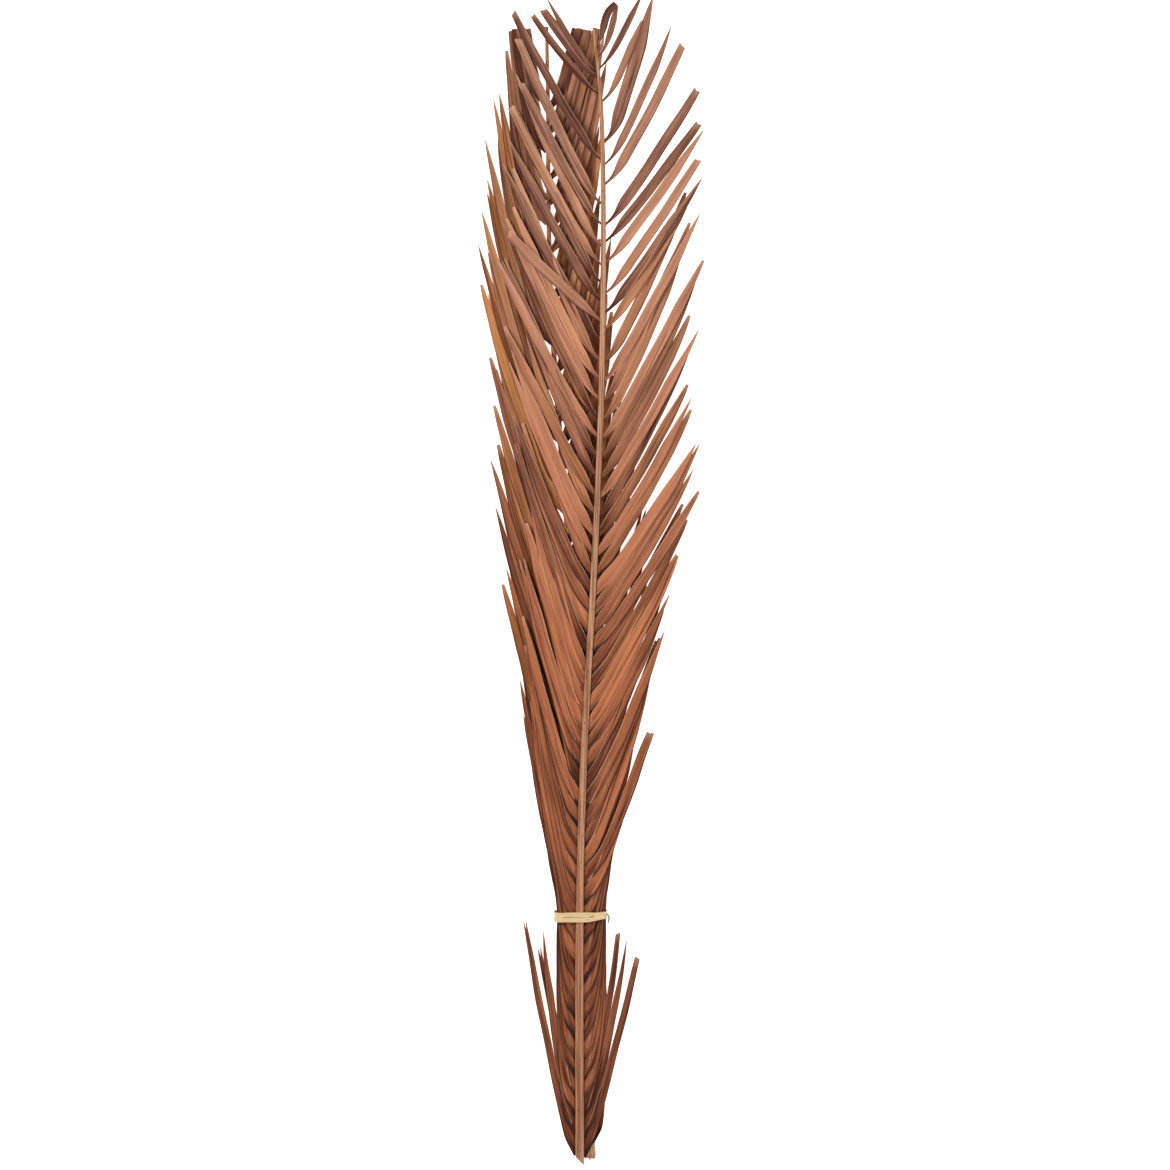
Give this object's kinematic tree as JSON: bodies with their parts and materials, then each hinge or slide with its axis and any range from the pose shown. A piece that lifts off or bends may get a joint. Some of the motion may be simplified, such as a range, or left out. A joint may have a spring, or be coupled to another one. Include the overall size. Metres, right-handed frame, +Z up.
{
  "type": "dried date palm frond",
  "caption": "Dried brown date palm fronds with folded leaflets, laid flat one on the other and tied near the cut butts with pale raffia.",
  "frame": {"origin": "middle of the bundle's bounding box, on the surface it lies on", "axes": "+Y from the cut butts to the tips, +X to the right seen from above with the tips away, +Z up from the surface"},
  "size_m": [0.2326, 1.198, 0.0359],
  "materials": {
    "rachis": "dry stalk, faintly ridged, satin",
    "leaflet_front": "dry leaf, fibrous, matte",
    "leaflet_rear": "dry leaf, fibrous, matte",
    "raffia": "pale raffia strip, matte"
  },
  "bodies": {
    "root": {"front_leaflets_left_01": "leaflet_front", "front_leaflets_left_02": "leaflet_front", "front_leaflets_left_03": "leaflet_front", "front_leaflets_left_04": "leaflet_front", "front_leaflets_left_05": "leaflet_front", "front_leaflets_left_06": "leaflet_front", "front_leaflets_left_07": "leaflet_front", "front_leaflets_left_08": "leaflet_front", "front_leaflets_left_09": "leaflet_front", "front_leaflets_left_10": "leaflet_front", "front_leaflets_left_11": "leaflet_front", "front_leaflets_left_12": "leaflet_front", "front_leaflets_left_13": "leaflet_front", "front_leaflets_left_14": "leaflet_front", "front_leaflets_right_01": "leaflet_front", "front_leaflets_right_02": "leaflet_front", "front_leaflets_right_03": "leaflet_front", "front_leaflets_right_04": "leaflet_front", "front_leaflets_right_05": "leaflet_front", "front_leaflets_right_06": "leaflet_front", "front_leaflets_right_07": "leaflet_front", "front_leaflets_right_08": "leaflet_front", "front_leaflets_right_09": "leaflet_front", "front_leaflets_right_10": "leaflet_front", "front_leaflets_right_11": "leaflet_front", "front_leaflets_right_12": "leaflet_front", "front_leaflets_right_13": "leaflet_front", "front_leaflets_right_14": "leaflet_front", "front_rachis": "rachis", "raffia_knot": "raffia", "raffia_wrap_lower": "raffia", "raffia_wrap_upper": "raffia", "rear_leaflets_left_01": "leaflet_rear", "rear_leaflets_left_02": "leaflet_rear", "rear_leaflets_left_03": "leaflet_rear", "rear_leaflets_left_04": "leaflet_rear", "rear_leaflets_left_05": "leaflet_rear", "rear_leaflets_left_06": "leaflet_rear", "rear_leaflets_left_07": "leaflet_rear", "rear_leaflets_left_08": "leaflet_rear", "rear_leaflets_left_09": "leaflet_rear", "rear_leaflets_left_10": "leaflet_rear", "rear_leaflets_left_11": "leaflet_rear", "rear_leaflets_right_01": "leaflet_rear", "rear_leaflets_right_02": "leaflet_rear", "rear_leaflets_right_03": "leaflet_rear", "rear_leaflets_right_04": "leaflet_rear", "rear_leaflets_right_05": "leaflet_rear", "rear_leaflets_right_06": "leaflet_rear", "rear_leaflets_right_07": "leaflet_rear", "rear_leaflets_right_08": "leaflet_rear", "rear_leaflets_right_09": "leaflet_rear", "rear_leaflets_right_10": "leaflet_rear", "rear_leaflets_right_11": "leaflet_rear", "rear_rachis": "rachis"}
  },
  "joints": []
}
